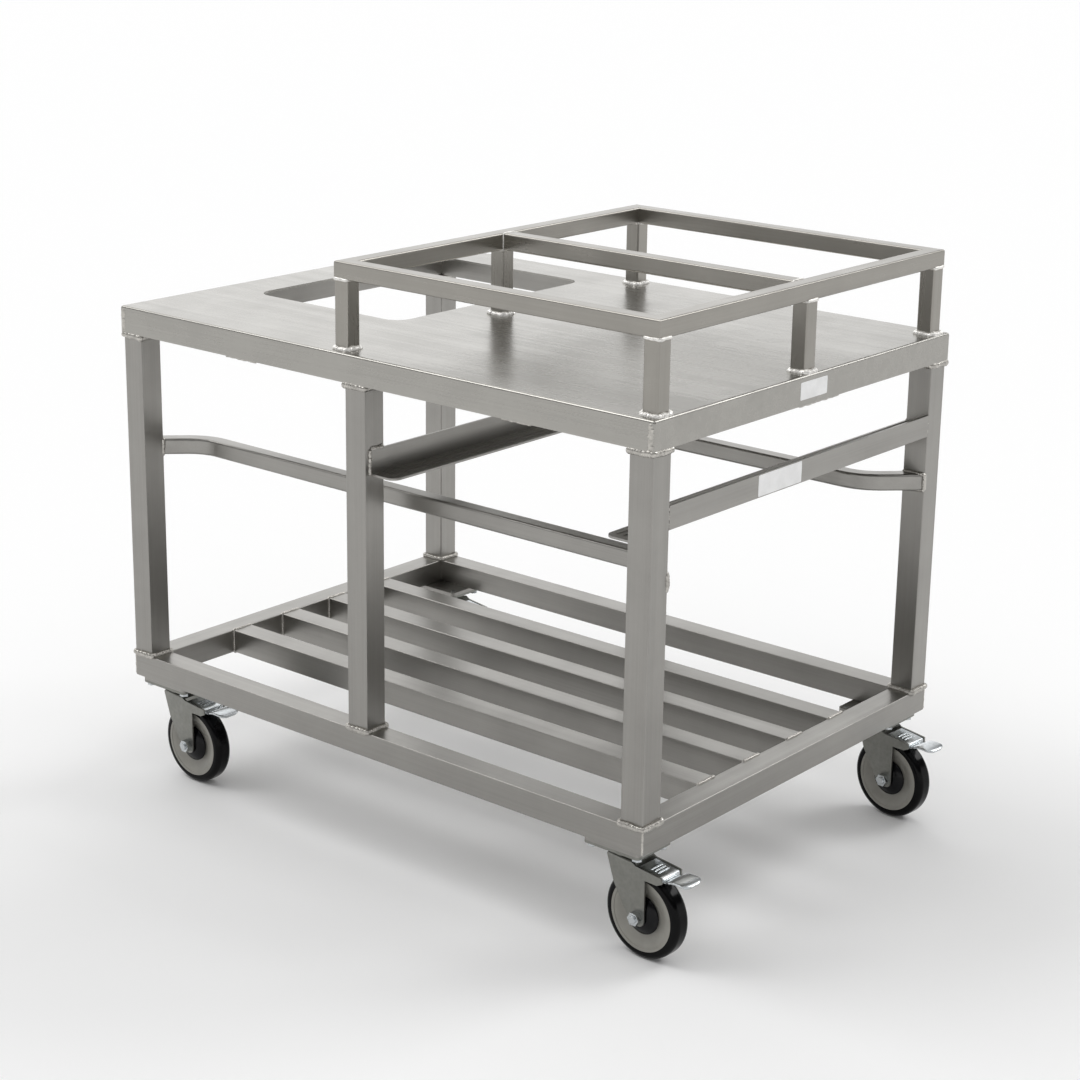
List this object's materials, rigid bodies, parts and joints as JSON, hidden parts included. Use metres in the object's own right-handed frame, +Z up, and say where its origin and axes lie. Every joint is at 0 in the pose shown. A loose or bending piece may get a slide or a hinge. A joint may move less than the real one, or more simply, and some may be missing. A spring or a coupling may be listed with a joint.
{
  "type": "bus cart",
  "caption": "Welded aluminium bus cart with a deck cut-out, a raised pan rack, tray ledges, guard rails, a slatted base and braked swivel casters.",
  "frame": {"origin": "on the floor under the middle of the cart's outer box", "axes": "+X to the right, along the cart's length towards the pan rack and the brake pedals; +Y to the rear; +Z up"},
  "size_m": [1.0816, 0.7176, 0.8874],
  "materials": {
    "mill_aluminium": "mill",
    "zinc_plated_steel": "zinc plated",
    "bright_steel": "bright zinc plated",
    "grey_core": "moulded",
    "black_tread": "gloss",
    "black_guard": "satin"
  },
  "bodies": {
    "cart_frame": {"deck_sheet": "mill_aluminium", "deck_rail_front": "mill_aluminium", "base_rail_front": "mill_aluminium", "deck_rail_rear": "mill_aluminium", "base_rail_rear": "mill_aluminium", "deck_rail_left": "mill_aluminium", "base_rail_left": "mill_aluminium", "deck_rail_right": "mill_aluminium", "base_rail_right": "mill_aluminium", "post_front_left": "mill_aluminium", "post_front_middle": "mill_aluminium", "post_front_right": "mill_aluminium", "post_rear_left": "mill_aluminium", "post_rear_middle": "mill_aluminium", "post_rear_right": "mill_aluminium", "base_slat_1": "mill_aluminium", "base_slat_2": "mill_aluminium", "base_slat_3": "mill_aluminium", "base_slat_4": "mill_aluminium", "tray_stop_bar": "mill_aluminium", "tray_ledge_left": "mill_aluminium", "tray_ledge_right": "mill_aluminium", "guard_rail_front": "mill_aluminium", "guard_rail_rear": "mill_aluminium", "rack_rail_front": "mill_aluminium", "rack_rail_rear": "mill_aluminium", "rack_rail_left": "mill_aluminium", "rack_rail_right": "mill_aluminium", "rack_rail_middle": "mill_aluminium", "rack_posts": "mill_aluminium", "caster_front_left_plate": "zinc_plated_steel", "caster_front_right_plate": "zinc_plated_steel", "caster_rear_left_plate": "zinc_plated_steel", "caster_rear_right_plate": "zinc_plated_steel", "caster_bolts": "zinc_plated_steel", "caster_mount_pads": "mill_aluminium"},
    "caster_front_left_swivel": {"caster_front_left_fork": "zinc_plated_steel", "caster_front_left_axle": "zinc_plated_steel"},
    "caster_front_left_wheel": {"caster_front_left_wheel_core": "grey_core", "caster_front_left_tread": "black_tread", "caster_front_left_thread_guards": "black_guard"},
    "caster_front_left_brake": {"caster_front_left_brake_pedal": "bright_steel"},
    "caster_front_right_swivel": {"caster_front_right_fork": "zinc_plated_steel", "caster_front_right_axle": "zinc_plated_steel"},
    "caster_front_right_wheel": {"caster_front_right_wheel_core": "grey_core", "caster_front_right_tread": "black_tread", "caster_front_right_thread_guards": "black_guard"},
    "caster_front_right_brake": {"caster_front_right_brake_pedal": "bright_steel"},
    "caster_rear_left_swivel": {"caster_rear_left_fork": "zinc_plated_steel", "caster_rear_left_axle": "zinc_plated_steel"},
    "caster_rear_left_wheel": {"caster_rear_left_wheel_core": "grey_core", "caster_rear_left_tread": "black_tread", "caster_rear_left_thread_guards": "black_guard"},
    "caster_rear_left_brake": {"caster_rear_left_brake_pedal": "bright_steel"},
    "caster_rear_right_swivel": {"caster_rear_right_fork": "zinc_plated_steel", "caster_rear_right_axle": "zinc_plated_steel"},
    "caster_rear_right_wheel": {"caster_rear_right_wheel_core": "grey_core", "caster_rear_right_tread": "black_tread", "caster_rear_right_thread_guards": "black_guard"},
    "caster_rear_right_brake": {"caster_rear_right_brake_pedal": "bright_steel"}
  },
  "joints": [
    {"name": "front_left_swivel", "type": "hinge", "parent": "cart_frame", "child": "caster_front_left_swivel", "pos_m": [-0.48032, -0.3136, 0.142], "axis": [0, 0, 1], "continuous": true},
    {"name": "front_left_wheel_spin", "type": "hinge", "parent": "caster_front_left_swivel", "child": "caster_front_left_wheel", "pos_m": [-0.44233, -0.3144, 0.0635], "axis": [0.0209, 0.9998, 0], "continuous": true},
    {"name": "front_left_brake_press", "type": "hinge", "parent": "caster_front_left_swivel", "child": "caster_front_left_brake", "pos_m": [-0.42334, -0.31479, 0.12979], "axis": [0.0209, 0.9998, 0], "range_deg": [0, 11]},
    {"name": "front_right_swivel", "type": "hinge", "parent": "cart_frame", "child": "caster_front_right_swivel", "pos_m": [0.42108, -0.3136, 0.142], "axis": [0, 0, 1], "continuous": true},
    {"name": "front_right_wheel_spin", "type": "hinge", "parent": "caster_front_right_swivel", "child": "caster_front_right_wheel", "pos_m": [0.45905, -0.31512, 0.0635], "axis": [0.0401, 0.9992, 0], "continuous": true},
    {"name": "front_right_brake_press", "type": "hinge", "parent": "caster_front_right_swivel", "child": "caster_front_right_brake", "pos_m": [0.47803, -0.31589, 0.12979], "axis": [0.0401, 0.9992, 0], "range_deg": [0, 11]},
    {"name": "rear_left_swivel", "type": "hinge", "parent": "cart_frame", "child": "caster_rear_left_swivel", "pos_m": [-0.48032, 0.3136, 0.142], "axis": [0, 0, 1], "continuous": true},
    {"name": "rear_left_wheel_spin", "type": "hinge", "parent": "caster_rear_left_swivel", "child": "caster_rear_left_wheel", "pos_m": [-0.44238, 0.31161, 0.0635], "axis": [0.0523, 0.9986, 0], "continuous": true},
    {"name": "rear_left_brake_press", "type": "hinge", "parent": "caster_rear_left_swivel", "child": "caster_rear_left_brake", "pos_m": [-0.4234, 0.31062, 0.12979], "axis": [0.0523, 0.9986, 0], "range_deg": [0, 11]},
    {"name": "rear_right_swivel", "type": "hinge", "parent": "cart_frame", "child": "caster_rear_right_swivel", "pos_m": [0.42108, 0.3136, 0.142], "axis": [0, 0, 1], "continuous": true},
    {"name": "rear_right_wheel_spin", "type": "hinge", "parent": "caster_rear_right_swivel", "child": "caster_rear_right_wheel", "pos_m": [0.4589, 0.30996, 0.0635], "axis": [0.0958, 0.9954, 0], "continuous": true},
    {"name": "rear_right_brake_press", "type": "hinge", "parent": "caster_rear_right_swivel", "child": "caster_rear_right_brake", "pos_m": [0.47781, 0.30814, 0.12979], "axis": [0.0958, 0.9954, 0], "range_deg": [0, 11]}
  ]
}
